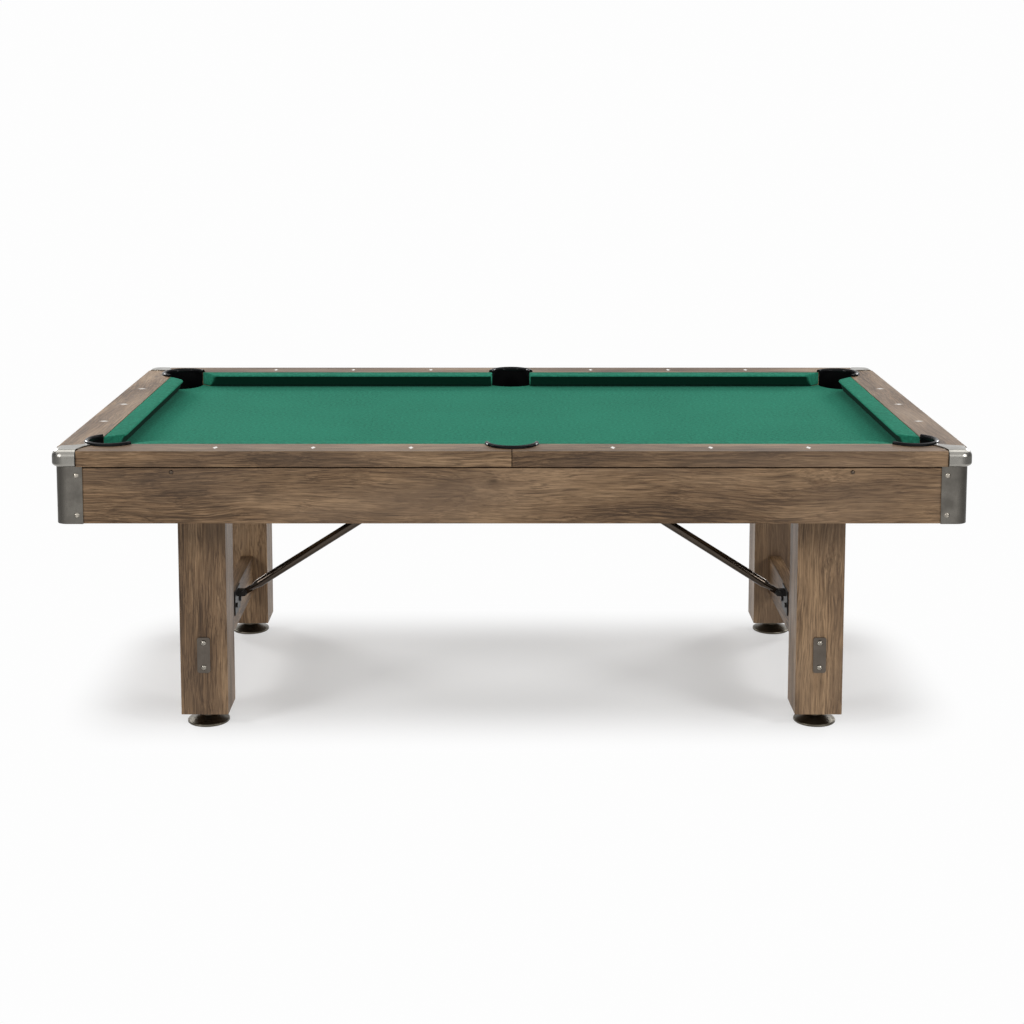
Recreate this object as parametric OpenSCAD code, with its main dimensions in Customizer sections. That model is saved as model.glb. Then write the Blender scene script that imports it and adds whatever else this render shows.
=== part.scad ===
// Seven-foot pool table: slate bed, six drop pockets, cloth cushions, timber cabinet and four
// post legs with screw levellers. Millimetres, +Z up, origin on the floor below the centre.
// X runs along the table, and the front long side faces -Y.

/* [Playing field] */
// Width between the noses of the long cushions (the length is twice this)
play_w = 1016; // [980:2:1060]
// Height of the cloth above the floor
bed_h = 750; // [740:1:780]
// Thickness of the slate
slate_t = 25; // [19:1:30]
// Thickness of the bed cloth
cloth_t = 1; // [0.8:0.1:1.2]

/* [Rails and cushions] */
// Width of the bare timber of a rail
rail_wood = 91.5; // [86:0.5:96]
// Width of the cloth-covered cushion, from the timber to the nose
cushion_w = 50; // [46:1:54]
// Height of a rail above the cloth
rail_t = 40; // [38:0.5:43]
// Radius of the rail's outer top edge
rail_edge_r = 3; // [2:0.5:5]
// Height of the cushion nose above the cloth
nose_h = 36.5; // [36:0.1:37]
// Length of a diamond sight, across the rail
sight_l = 28; // [16:1:30]
// Width of a diamond sight, along the rail
sight_w = 13; // [8:1:14]

/* [Pockets] */
// Distance of a corner pocket's centre from both outer edges
corner_pocket = 126; // [122:1:130]
// Distance of a side pocket's centre from the outer edge
side_pocket = 97; // [94:1:100]
// Radius of the hole in the rails for a pocket
pocket_r = 62; // [60:0.5:64]
// Radius of the cut-out in the slate
slate_cut_r = 80; // [78:1:82]
// Distance from a cushion's corner end to the crossing of the nose lines
corner_tip = 86; // [84:1:92]
// Half the width of a side pocket's mouth between the noses
side_tip = 63.5; // [62:0.5:66]
// Depth of a pocket's bag below the cloth
bag_depth = 138; // [120:1:140]

/* [Cabinet] */
// Height of the apron boards
apron_h = 142; // [138:1:148]
// Thickness of the apron boards
apron_t = 19; // [16:1:22]
// Set-back of the corner trims from the rail's edge
trim_inset = 5; // [3:0.5:8]
// Width of a corner trim on each face
trim_w = 68; // [60:1:76]
// Outer radius of a corner trim
trim_r = 30; // [26:1:34]
// Height of the frame's timbers
frame_h = 84; // [76:1:90]

/* [Legs] */
// Side of the square legs
leg_w = 125; // [115:1:135]
// Distance of the legs' centres from the middle, along the table
leg_x = 816; // [780:1:850]
// Distance of the legs' centres from the middle, across the table
leg_y = 399.5; // [380:0.5:410]
// Height of the legs' undersides above the floor, levellers screwed in
leg_lift = 38; // [36:1:44]
// Thickness of a stretcher between two legs
stretcher_t = 36; // [30:1:44]
// Height of a stretcher
stretcher_h = 114; // [100:1:124]
// Height of a stretcher's underside above the floor
stretcher_z = 137; // [128:1:145]
// Diameter of the brace tubes
brace_d = 25; // [22:1:28]
// Diameter of a leveller's foot
foot_d = 112; // [100:1:120]
// Radius of a leveller's screw
stud_r = 8; // [7:0.5:9]

/* [Hidden] */
$fn = 64;

// Quadrants by name: [x sign, y sign]
FRONT_LEFT = [-1, -1];
FRONT_RIGHT = [1, -1];
BACK_LEFT = [-1, 1];
BACK_RIGHT = [1, 1];
QUADRANTS = [FRONT_LEFT, FRONT_RIGHT, BACK_LEFT, BACK_RIGHT];

// Overall places
rail_w = rail_wood + cushion_w;
half_l = play_w + rail_w;
half_w = play_w / 2 + rail_w;
rail_top = bed_h + rail_t;
slate_top = bed_h - cloth_t;
slate_bottom = slate_top - slate_t;
frame_z = slate_bottom - frame_h;
touch = 0.1;      // clearance between a fastener and its hole
running = 0.05;   // radial clearance of a running fit

// Rails: the timber ends in an arc that bulges towards the corner cap
seam_gap = 2.2;
seam_at = 60;             // where the seam starts, from the corner along the outer face
seam_r = 99.5;            // radius of the seam's arc
seam_y = 5;               // distance of the arc's centre from the rail's outer face
facing_run = 49;          // how far a corner facing runs back along the rail
side_facing_run = 3.5;    // how far a side facing closes behind the nose
sub_rail_w = 26;          // timber under the cloth, behind the rubber
nose_r = 3;
sight_t = 1.5;
sight_long = [256, 504, 752];   // sights on a long rail, from the middle
sight_end = 254;          // spacing of the sights on an end rail
slate_inset = 45;         // slate's edge from the rail's outer edge
slate_seam_x = 371;
slate_gap = 0.2;
slate_middle_x = slate_seam_x - slate_gap / 2;  // half the length of the middle slate
side_cut = 51.5;          // centre of a side cut-out in the slate, from the rail's outer edge
corner_cut = 100.5;       // the same for a corner cut-out, from both edges
bolt_in = 68;             // rail bolts, from the rail's outer edge
bolt_r = 5;
long_bolts = [190, 560, 930];
end_bolts = [-300, 0, 300];
slate_screw_x = [322, 420, 900];

// Pocket rims and liners
rim_in = 58;
rim_out = 70;
rim_rise = 8;
rim_skirt = 4;
rim_mid = (rim_in + rim_out) / 2;
liner_out = pocket_r - 0.5;
liner_t = 2.5;
liner_step = 0.3;         // the wall above the bag is thinner by this on each face
bag_round = 20;
end_clear = 1.2;          // degrees kept free at each end of a rim
corner_half_span = 45 + acos((corner_pocket - rail_wood) / rim_mid) - end_clear;
side_half_span = acos((side_pocket - rail_wood) / rim_mid) - end_clear;

// Corner caps
cap_proud = 4.5;
cap_rise = 3;             // how far the cap stands above the rails
cap_top = rail_top + cap_rise;
cap_corner_r = 34;
cap_top_r = 20;
cap_bottom_r = 8;
cap_wall = 4;
cap_reach = 95;

// Cabinet
trim_t = 2.5;
apron_in = trim_inset + trim_t;
apron_gap = 5;            // shadow gap between the rails and the aprons
apron_z = bed_h - apron_gap - apron_h;
panel_t = 38;
panel_x = 957;            // outer faces of the frame's end panels
panel_y = leg_y + leg_w / 2;
beam_w = 60;
leg_board_t = 38;

// Screws on the cabinet
screw_r = 7;
screw_dome = 4;
screw_shank_r = 2.5;
screw_shank = 18;
trim_screw_in = 55;       // from the trim's outer corner plane
trim_screw_z = [bed_h - 125, bed_h - 23];
apron_screw_x = 858;
apron_screw_z = bed_h - 15;
apron_screw_r = 5.5;

// Legs, plates and braces
leg_edge_r = 2;
plate_w = 34;
plate_h = 96;
plate_t = 3;
plate_z = 201;
plate_corner_r = 6;
plate_bolt_step = 67;
plate_bolt_depth = leg_w + 60;
button_r = 8;
button_h = 5;
button_socket_r = 3.5;
button_socket = 2.5;
leg_bolt_l = 118;
leg_bolt_y = 380;
leg_bolt_dx = 35;
bracket_t = 4;
pivot_off = 22;           // pivot's distance from the timber behind the bracket
ear_t = 5;
ear_r = 9.5;
tongue_t = 8;
tongue_w = 17;
tongue_l = 26;
cone_l = 34;
brace_low = [leg_x - stretcher_t / 2 - pivot_off, 236];
brace_high = [175, frame_z - pivot_off];
brace_run = brace_low[0] - brace_high[0];
brace_rise = brace_high[1] - brace_low[1];
brace_l = sqrt(brace_run * brace_run + brace_rise * brace_rise);
brace_angle = atan2(brace_rise, brace_run);
ear_gap = tongue_t / 2 + 0.3;
hex_r = 9.2;
hex_h = 6;
pin_hex_r = 7.5;
lag_r = 4;
lag_l = 30;
low_plate = [-56, 14, 95];      // from, to along the bracket, and width
high_plate = [-35, 35, 56];
low_holes = [[-29, -32], [-29, 32]];
high_holes = [[-26, 0], [26, 0]];

// Levellers
foot_rim = 7;
foot_shoulder = 17;
neck_r = 20;
neck_top = 25.7;
socket_z = 6;
collar_z = 26;
collar_r = 17.3;
insert_flange_r = 20;
insert_flange_t = 2;
insert_r = 11;
insert_l = 24;
collar_top = leg_lift - insert_flange_t - 0.3;
stud_top = 105;
leg_bore = 90;

// ---------- helpers ----------

// Draws its children, made in the back right quadrant, in the quadrant q
module in_quadrant(q) {
    mirror([q[0] < 0 ? 1 : 0, 0, 0])
        mirror([0, q[1] < 0 ? 1 : 0, 0])
            children();
}

// Puts a shape made from the outer corner inwards (x along the rail, y across it) on the back right long side
module on_long_side() {
    translate([half_l, half_w, 0]) rotate([0, 0, 180]) children();
}

// The same for a shape that spans the whole right end
module on_right_end() {
    translate([half_l, -half_w, 0]) rotate([0, 0, 90]) children();
}

// Extrudes a section drawn in (across, height) along +X
module along_x(length) {
    rotate([90, 0, 90]) linear_extrude(height = length) children();
}

// Rectangle with true round corners
module round_rect(size, r) {
    translate([r, 0]) square([size[0] - 2 * r, size[1]]);
    translate([0, r]) square([size[0], size[1] - 2 * r]);
    for (x = [r, size[0] - r], y = [r, size[1] - r])
        translate([x, y]) circle(r);
}

// Ring segment of a section drawn in (radius, height), centred on the direction mid
module swept(mid, half_span) {
    rotate([0, 0, mid - half_span]) rotate_extrude(angle = 2 * half_span, $fn = 96) children();
}

function arc(centre, r, from, to, steps) =
    [for (i = [0:steps]) let (a = from + (to - from) * i / steps) centre + r * [cos(a), sin(a)]];

// ---------- rails ----------

module rail_section() {
    translate([rail_edge_r, bed_h]) square([rail_wood - rail_edge_r, rail_t]);
    translate([0, bed_h]) square([rail_wood, rail_t - rail_edge_r]);
    translate([rail_edge_r, rail_top - rail_edge_r]) circle(rail_edge_r);
}

// Timber behind the rubber, covered by the cushion's cloth
module sub_rail_section() {
    polygon([
        [rail_wood - 1, bed_h],
        [rail_wood - 1, rail_top - 2],
        [rail_wood + 18, rail_top - 2.8],
        [rail_wood + sub_rail_w, bed_h + 12],
        [rail_wood + sub_rail_w, bed_h]
    ]);
}

// Rubber profile with its cloth: a sharp nose above an undercut face
module cushion_section() {
    nose = [rail_w - nose_r, bed_h + nose_h - nose_r / 2];
    difference() {
        polygon(concat(
            [[rail_wood + 0.2, rail_top]],
            arc(nose, nose_r, 86, -38, 6),
            [
                [rail_wood + sub_rail_w + 5, bed_h + 3],
                [rail_wood + sub_rail_w + 2, bed_h + 0.4],
                [rail_wood + 0.2, bed_h + 0.4]
            ]
        ));
        sub_rail_section();
    }
}

// Plan of a cushion, from its corner end to length; far_corner says that the far end is a corner too
module cushion_plan(length, far_corner) {
    back = corner_tip + rail_w - facing_run;
    tip = corner_tip + rail_w;
    far_back = far_corner ? back : side_tip - side_facing_run;
    far_tip = far_corner ? tip : side_tip;
    linear_extrude(height = 2 * rail_top)
        polygon([
            [back, rail_wood], [tip, rail_w],
            [length - far_tip, rail_w], [length - far_back, rail_wood]
        ]);
}

// What the corner caps leave of a rail's timber: it ends in the seam's arc
module inside_seams(length, far_corner) {
    end = far_corner ? length - seam_at - seam_r : length;
    translate([seam_at + seam_r, -1, 0]) cube([end - seam_at - seam_r, rail_w, 2 * rail_top]);
    for (x = far_corner ? [seam_at + seam_r, end] : [seam_at + seam_r])
        translate([x, seam_y, 0]) cylinder(r = seam_r - seam_gap / 2, h = 2 * rail_top);
}

module pocket_hole(x, y, r) {
    translate([x, y, bed_h - 60]) cylinder(r = r, h = 120);
}

module sight(x, z0) {
    translate([x, rail_wood / 2, z0])
        linear_extrude(height = sight_t)
            polygon([[-sight_w / 2, 0], [0, -sight_l / 2], [sight_w / 2, 0], [0, sight_l / 2]]);
}

module rail_bolt_hole(x) {
    translate([x, bolt_in, bed_h - 1]) cylinder(r = bolt_r + touch, h = 25);
}

module long_rail() {
    color("#6b5847") difference() {
        union() {
            intersection() {
                along_x(half_l - seam_gap / 2) rail_section();
                inside_seams(half_l, false);
            }
            intersection() {
                along_x(half_l) sub_rail_section();
                cushion_plan(half_l, false);
            }
        }
        pocket_hole(corner_pocket, corner_pocket, pocket_r);
        pocket_hole(half_l, side_pocket, pocket_r);
        for (x = sight_long) sight(half_l - x, rail_top - sight_t);
        for (x = long_bolts) rail_bolt_hole(half_l - x);
    }
}

module end_rail() {
    length = 2 * half_w;
    color("#6b5847") difference() {
        union() {
            intersection() {
                along_x(length) rail_section();
                inside_seams(length, true);
            }
            intersection() {
                along_x(length) sub_rail_section();
                cushion_plan(length, true);
            }
        }
        for (x = [corner_pocket, length - corner_pocket]) pocket_hole(x, corner_pocket, pocket_r);
        for (i = [-1:1]) sight(half_w + i * sight_end, rail_top - sight_t);
        for (y = end_bolts) rail_bolt_hole(half_w + y);
    }
}

module long_cushion() {
    color("#2f7d5f") intersection() {
        along_x(half_l) cushion_section();
        cushion_plan(half_l, false);
    }
}

module end_cushion() {
    color("#2f7d5f") intersection() {
        along_x(2 * half_w) cushion_section();
        cushion_plan(2 * half_w, true);
    }
}

module rail_sights() {
    color("#e9e4d6") {
        for (q = QUADRANTS, x = sight_long)
            in_quadrant(q) on_long_side() sight(half_l - x, rail_top - sight_t);
        for (side = [0, 1], i = [-1:1])
            mirror([side, 0, 0]) on_right_end() sight(half_w + i * sight_end, rail_top - sight_t);
    }
}

// Hex bolts that come up through the slate into the rails
module rail_bolt() {
    color("#8a8a88") {
        translate([0, 0, slate_bottom - 3]) cylinder(r = 14, h = 3);
        translate([0, 0, slate_bottom - 10]) cylinder(r = 9, h = 7, $fn = 6);
        translate([0, 0, slate_bottom - 4]) cylinder(r = bolt_r, h = bed_h + 20 - slate_bottom);
    }
}

module rail_bolts() {
    for (q = QUADRANTS, x = long_bolts)
        in_quadrant(q) translate([x, half_w - bolt_in, 0]) rail_bolt();
    for (side = [-1, 1], y = end_bolts)
        translate([side * (half_l - bolt_in), y, 0]) rail_bolt();
}

// ---------- bed ----------

module bed_plan() {
    difference() {
        translate([slate_inset - half_l, slate_inset - half_w])
            square([2 * (half_l - slate_inset), 2 * (half_w - slate_inset)]);
        for (q = QUADRANTS)
            translate([q[0] * (half_l - corner_cut), q[1] * (half_w - corner_cut)]) circle(slate_cut_r);
        for (side = [-1, 1])
            translate([0, side * (half_w - side_cut)]) circle(slate_cut_r);
    }
}

module slate_screw_shape(grow) {
    translate([0, 0, slate_top - 5]) cylinder(r1 = 3 + grow, r2 = 8 + grow, h = 5);
    translate([0, 0, slate_bottom - 26]) cylinder(r = 3 + grow, h = 26 + slate_t);
}

module at_slate_screws() {
    for (q = QUADRANTS, x = slate_screw_x)
        translate([q[0] * x, q[1] * (panel_y - panel_t / 2), 0]) children();
}

// One of the three slates, between x0 and x1
module slate(x0, x1) {
    color("#5b6064") difference() {
        translate([0, 0, slate_bottom]) linear_extrude(height = slate_t)
            intersection() {
                bed_plan();
                translate([x0, -half_w]) square([x1 - x0, 2 * half_w]);
            }
        at_slate_screws() slate_screw_shape(touch);
        for (q = QUADRANTS, x = long_bolts)
            translate([q[0] * x, q[1] * (half_w - bolt_in), slate_bottom - 1])
                cylinder(r = 7, h = slate_t + 2);
        for (side = [-1, 1], y = end_bolts)
            translate([side * (half_l - bolt_in), y, slate_bottom - 1])
                cylinder(r = 7, h = slate_t + 2);
    }
}

module slate_screws() {
    color("#8a8a88") at_slate_screws() slate_screw_shape(0);
}

module bed_cloth() {
    color("#2f7d5f") difference() {
        translate([0, 0, slate_top]) linear_extrude(height = cloth_t) bed_plan();
        for (q = QUADRANTS, x = long_bolts)
            translate([q[0] * x, q[1] * (half_w - bolt_in), slate_bottom]) cylinder(r = 6, h = slate_t + 2);
        for (side = [-1, 1], y = end_bolts)
            translate([side * (half_l - bolt_in), y, slate_bottom]) cylinder(r = 6, h = slate_t + 2);
    }
}

// ---------- pockets ----------

module rim_section() {
    rise = (rail_top + 1) * [0, 1];
    polygon(concat(
        [[rim_in, rail_top - rim_skirt]],
        [for (i = [0:8]) let (a = 180 - 180 * i / 8)
            rise + [rim_mid + (rim_out - rim_in) / 2 * cos(a), (rim_rise - 1) * sin(a)]],
        [[rim_out, rail_top], [pocket_r - 0.2, rail_top], [pocket_r - 0.2, rail_top - rim_skirt]]
    ));
}

module corner_pocket_rims() {
    color("#1b1b1c") for (q = QUADRANTS)
        in_quadrant(q) translate([half_l - corner_pocket, half_w - corner_pocket, 0])
            swept(45, corner_half_span) rim_section();
}

module side_pocket_rims() {
    color("#1b1b1c") for (side = [0, 1])
        mirror([0, side, 0]) translate([0, half_w - side_pocket, 0])
            swept(90, side_half_span) rim_section();
}

// Wall and floor of a pocket's bag, drawn in (radius, height)
module bag_section() {
    floor_z = bed_h - bag_depth;
    brim = slate_bottom - 2;
    difference() {
        union() {
            translate([0, floor_z]) square([liner_out - bag_round, bag_round]);
            translate([0, floor_z + bag_round]) square([liner_out, brim - floor_z - bag_round]);
            intersection() {
                translate([liner_out - bag_round, floor_z + bag_round]) circle(bag_round);
                translate([0, floor_z]) square([liner_out, bag_round]);
            }
        }
        translate([-1, floor_z + bag_round]) square([liner_out - liner_t + 1, brim]);
        translate([-1, floor_z + liner_t]) square([liner_out - bag_round + 1, brim]);
        translate([liner_out - bag_round, floor_z + bag_round]) circle(bag_round - liner_t);
    }
}

// Black moulded pocket: a round bag below the slate, and a wall up to the rim on the outer side
module pocket_liner(mid, half_span) {
    color("#141415") {
        rotate_extrude($fn = 96) bag_section();
        swept(mid, half_span)
            translate([liner_out - liner_t + liner_step, slate_bottom - 12])
                square([liner_t - 2 * liner_step, rail_top - rim_skirt - slate_bottom + 12]);
    }
}

module corner_liner(q) {
    in_quadrant(q) translate([half_l - corner_pocket, half_w - corner_pocket, 0])
        pocket_liner(45, corner_half_span);
}

module side_liner(side) {
    mirror([0, side, 0]) translate([0, half_w - side_pocket, 0]) pocket_liner(90, side_half_span);
}

// ---------- corner caps ----------

// Half section of the casting's outer face: x is the distance inwards from the rail's outer face
module cap_profile() {
    difference() {
        union() {
            translate([cap_top_r - cap_proud, bed_h]) square([cap_reach, cap_top - bed_h]);
            translate([-cap_proud, bed_h + cap_bottom_r])
                square([cap_reach, cap_top - bed_h - cap_top_r - cap_bottom_r]);
            translate([cap_bottom_r - cap_proud, bed_h]) square([cap_reach, cap_bottom_r + 1]);
            translate([cap_top_r - cap_proud, cap_top - cap_top_r]) circle(cap_top_r);
            translate([cap_bottom_r - cap_proud, bed_h + cap_bottom_r]) circle(cap_bottom_r);
        }
        translate([cap_reach, bed_h - 1]) square([cap_reach, cap_top - bed_h + 2]);
    }
}

module cap_cavity_profile() {
    polygon([
        [0.5, bed_h - 1], [0.5, bed_h + rail_t / 2], [12, cap_top - cap_wall - 2],
        [18, cap_top - cap_wall], [cap_reach + 1, cap_top - cap_wall], [cap_reach + 1, bed_h - 1]
    ]);
}

// A profile run round the corner, from the end of one rail to the end of the other
module round_corner(run) {
    centre = cap_corner_r - cap_proud;
    for (side = [0, 1])
        mirror([side, -side, 0]) translate([centre, 0, 0]) intersection() {
            along_x(run) children();
            linear_extrude(height = 2 * rail_top)
                polygon([[0, -10], [run, -10], [run, run + centre], [0, centre]]);
        }
    translate([centre, centre, 0]) rotate([0, 0, 180]) rotate_extrude(angle = 90, $fn = 96)
        intersection() {
            translate([centre, 0]) mirror([1, 0]) children();
            square([cap_corner_r + 1, 2 * rail_top]);
        }
}

module cap_cutters(grow) {
    reach = seam_at + seam_r;
    for (p = [[reach, seam_y], [seam_y, reach]])
        translate([p[0], p[1], bed_h - 2]) cylinder(r = seam_r + seam_gap / 2 + grow, h = rail_t + 9);
    translate([corner_pocket, corner_pocket, bed_h - 2]) cylinder(r = pocket_r + grow, h = rail_t + 9);
    translate([corner_pocket, corner_pocket, rail_top - grow])
        cylinder(r = rim_out + 0.3 + grow, h = cap_rise + 2 * grow + 1);
}

// Hollow casting over the corner where two rails meet, made from the outer corner inwards
module corner_cap() {
    color("#77746d") difference() {
        round_corner(cap_reach) cap_profile();
        difference() {
            round_corner(cap_reach) cap_cavity_profile();
            cap_cutters(cap_wall);
        }
        cap_cutters(0);
    }
}

module corner_cap_at(q) {
    in_quadrant(q) on_long_side() corner_cap();
}

// ---------- cabinet ----------

module screw_dome_shape(r, dome) {
    ball = (r * r + dome * dome) / (2 * dome);
    intersection() {
        translate([0, 0, dome - ball]) sphere(ball, $fn = 48);
        cylinder(r = r, h = dome);
    }
}

// Dome-head screw that points down -Z from its seat at z = 0
module cabinet_screw(r) {
    color("#a09a8c") {
        screw_dome_shape(r, screw_dome);
        translate([0, 0, -screw_shank]) cylinder(r = screw_shank_r, h = screw_shank + 1);
    }
}

module screw_hole() {
    translate([0, 0, -screw_shank - 0.5]) cylinder(r = screw_shank_r + touch, h = screw_shank + 5);
}

// Trim screws of the back right corner: two on each face
module at_trim_screws() {
    for (z = trim_screw_z) {
        translate([half_l - trim_inset - trim_screw_in, half_w - trim_inset, z])
            rotate([-90, 0, 0]) children();
        translate([half_l - trim_inset, half_w - trim_inset - trim_screw_in, z])
            rotate([0, 90, 0]) children();
    }
}

module at_apron_screws() {
    for (side = [0, 1], x = [-apron_screw_x, apron_screw_x])
        mirror([0, side, 0]) translate([x, half_w - apron_in, apron_screw_z]) rotate([-90, 0, 0]) children();
}

module cabinet_screws() {
    for (q = QUADRANTS) in_quadrant(q) at_trim_screws() cabinet_screw(screw_r);
    at_apron_screws() cabinet_screw(apron_screw_r);
}

module corner_trims() {
    size = trim_w + trim_t;
    color("#6d6a64") for (q = QUADRANTS) in_quadrant(q) difference() {
        translate([half_l - trim_inset, half_w - trim_inset, apron_z - 1]) rotate([0, 0, 180])
            linear_extrude(height = bed_h - apron_z + 0.4) difference() {
                union() {
                    translate([trim_r, 0]) square([size - trim_r, trim_t]);
                    translate([0, trim_r]) square([trim_t, size - trim_r]);
                    intersection() {
                        translate([trim_r, trim_r]) circle(trim_r);
                        square(trim_r);
                    }
                }
                intersection() {
                    translate([trim_r, trim_r]) circle(trim_r - trim_t);
                    square(trim_r);
                }
            }
        at_trim_screws() screw_hole();
    }
}

module apron_screw_holes() {
    for (q = QUADRANTS) in_quadrant(q) at_trim_screws() screw_hole();
    at_apron_screws() screw_hole();
}

// Outline of the aprons' outer faces, round at the corners inside the trims
module apron_outline() {
    r = trim_r - trim_t + 0.4;
    translate([apron_in - half_l, apron_in - half_w])
        round_rect([2 * (half_l - apron_in), 2 * (half_w - apron_in)], r);
}

module apron_board(low, size) {
    color("#6b5847") difference() {
        translate([0, 0, apron_z]) linear_extrude(height = apron_h) intersection() {
            apron_outline();
            translate(low) square(size);
        }
        apron_screw_holes();
    }
}

module apron_long() {
    y = half_w - apron_in;
    apron_board([-half_l, y - apron_t], [2 * half_l, 2 * apron_t]);
}

module apron_end() {
    y = half_w - apron_in - apron_t;
    apron_board([half_l - apron_in - apron_t, -y], [2 * apron_t, 2 * y]);
}

module frame_panels() {
    color("#a98d64") difference() {
        union() {
            for (side = [0, 1]) mirror([0, side, 0])
                translate([-panel_x, panel_y - panel_t, frame_z]) cube([2 * panel_x, panel_t, frame_h]);
            for (side = [0, 1]) mirror([side, 0, 0])
                translate([panel_x - panel_t, panel_t - panel_y, frame_z])
                    cube([panel_t, 2 * (panel_y - panel_t), frame_h]);
        }
        at_slate_screws() slate_screw_shape(touch);
    }
}

// Cross beams under the joints of the slates, and a spine between them for the braces
module frame_beams() {
    y = panel_y - panel_t;
    spine = slate_seam_x - beam_w / 2;
    color("#a98d64") {
        for (side = [-1, 1])
            translate([side * slate_seam_x - beam_w / 2, -y, frame_z]) cube([beam_w, 2 * y, frame_h]);
        difference() {
            translate([-spine, -beam_w / 2, frame_z]) cube([2 * spine, beam_w, frame_h]);
            for (side = [0, 1]) mirror([side, 0, 0]) at_high_bracket() lag_holes(high_holes);
        }
    }
}

module at_leg_bolts() {
    for (q = QUADRANTS, dx = [-leg_bolt_dx, leg_bolt_dx])
        translate([q[0] * (leg_x + dx), q[1] * leg_bolt_y, frame_z]) children();
}

module frame_leg_boards() {
    y = panel_y - panel_t;
    color("#a98d64") difference() {
        for (side = [-1, 1])
            translate([side * leg_x - leg_w / 2, -y, frame_z]) cube([leg_w, 2 * y, leg_board_t]);
        at_leg_bolts() translate([0, 0, -1]) cylinder(r = bolt_r + touch, h = leg_board_t + 2);
    }
}

// ---------- legs ----------

module at_plate_bolts() {
    for (side = [-1, 1])
        translate([leg_x, leg_y + leg_w / 2, plate_z + side * plate_bolt_step / 2])
            rotate([-90, 0, 0]) children();
}

module leg() {
    color("#5f4c3b") difference() {
        translate([leg_x - leg_w / 2, leg_y - leg_w / 2, leg_lift])
            linear_extrude(height = frame_z - leg_lift) round_rect([leg_w, leg_w], leg_edge_r);
        translate([leg_x, leg_y, leg_lift - 1]) cylinder(r = insert_r + touch, h = insert_l + 1);
        translate([leg_x, leg_y, leg_lift]) cylinder(r = stud_r + 1, h = leg_bore);
        at_plate_bolts() translate([0, 0, -leg_w - 1]) cylinder(r = bolt_r + touch, h = leg_w + 2);
        at_leg_bolts() translate([0, 0, -leg_bolt_l]) cylinder(r = bolt_r + touch, h = leg_bolt_l + 1);
    }
}

module leg_bolts() {
    color("#8a8a88") at_leg_bolts() {
        translate([0, 0, leg_board_t]) cylinder(r = hex_r, h = hex_h, $fn = 6);
        translate([0, 0, 40 - leg_bolt_l]) cylinder(r = bolt_r, h = leg_board_t + leg_bolt_l - 39);
    }
}

module leg_plates() {
    color("#5d5751") for (q = QUADRANTS) in_quadrant(q) difference() {
        translate([leg_x - plate_w / 2, leg_y + leg_w / 2 + plate_t, plate_z - plate_h / 2])
            rotate([90, 0, 0]) linear_extrude(height = plate_t)
                round_rect([plate_w, plate_h], plate_corner_r);
        at_plate_bolts() translate([0, 0, -1]) cylinder(r = bolt_r + touch, h = plate_t + 2);
    }
}

// Button-head bolts through the plate and the leg into the stretcher's end
module leg_plate_bolts() {
    color("#8d877b") for (q = QUADRANTS) in_quadrant(q) at_plate_bolts() difference() {
        union() {
            translate([0, 0, plate_t]) screw_dome_shape(button_r, button_h);
            translate([0, 0, -plate_bolt_depth]) cylinder(r = bolt_r, h = plate_bolt_depth + plate_t + 1);
        }
        translate([0, 0, plate_t + button_h - button_socket])
            cylinder(r = button_socket_r, h = button_socket + 1, $fn = 6);
    }
}

module leg_stretchers() {
    y = leg_y - leg_w / 2;
    color("#5f5246") for (side = [0, 1]) mirror([side, 0, 0]) difference() {
        translate([leg_x - stretcher_t / 2, -y, stretcher_z]) cube([stretcher_t, 2 * y, stretcher_h]);
        for (end = [0, 1]) mirror([0, end, 0]) at_plate_bolts()
            translate([0, 0, -plate_bolt_depth - 1]) cylinder(r = bolt_r + touch, h = plate_bolt_depth);
        at_low_bracket() lag_holes(low_holes);
    }
}

// ---------- braces ----------

// Right-hand brackets: +Z points from the timber to the pivot, and the pin lies along Y
module at_low_bracket() {
    translate([brace_low[0] + pivot_off, 0, brace_low[1]]) rotate([0, -90, 0]) children();
}

module at_high_bracket() {
    translate([brace_high[0], 0, brace_high[1] + pivot_off]) rotate([180, 0, 0]) children();
}

module lag_holes(holes) {
    for (h = holes) translate([h[0], h[1], -lag_l - 1]) cylinder(r = lag_r + touch, h = lag_l + 10);
}

module bracket(plate, holes) {
    difference() {
        union() {
            translate([plate[0], -plate[2] / 2, 0]) cube([plate[1] - plate[0], plate[2], bracket_t]);
            for (side = [0, 1]) mirror([0, side, 0]) translate([0, ear_gap, 0]) {
                translate([-ear_r, 0, 0]) cube([2 * ear_r, ear_t, pivot_off]);
                translate([0, ear_t, pivot_off]) rotate([90, 0, 0]) cylinder(r = ear_r, h = ear_t);
            }
        }
        translate([0, 2 * ear_r, pivot_off]) rotate([90, 0, 0]) cylinder(r = bolt_r + touch, h = 4 * ear_r);
        lag_holes(holes);
    }
}

module brace_brackets() {
    color("#2b2a28") for (side = [0, 1]) mirror([side, 0, 0]) {
        at_low_bracket() bracket(low_plate, low_holes);
        at_high_bracket() bracket(high_plate, high_holes);
    }
}

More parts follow.
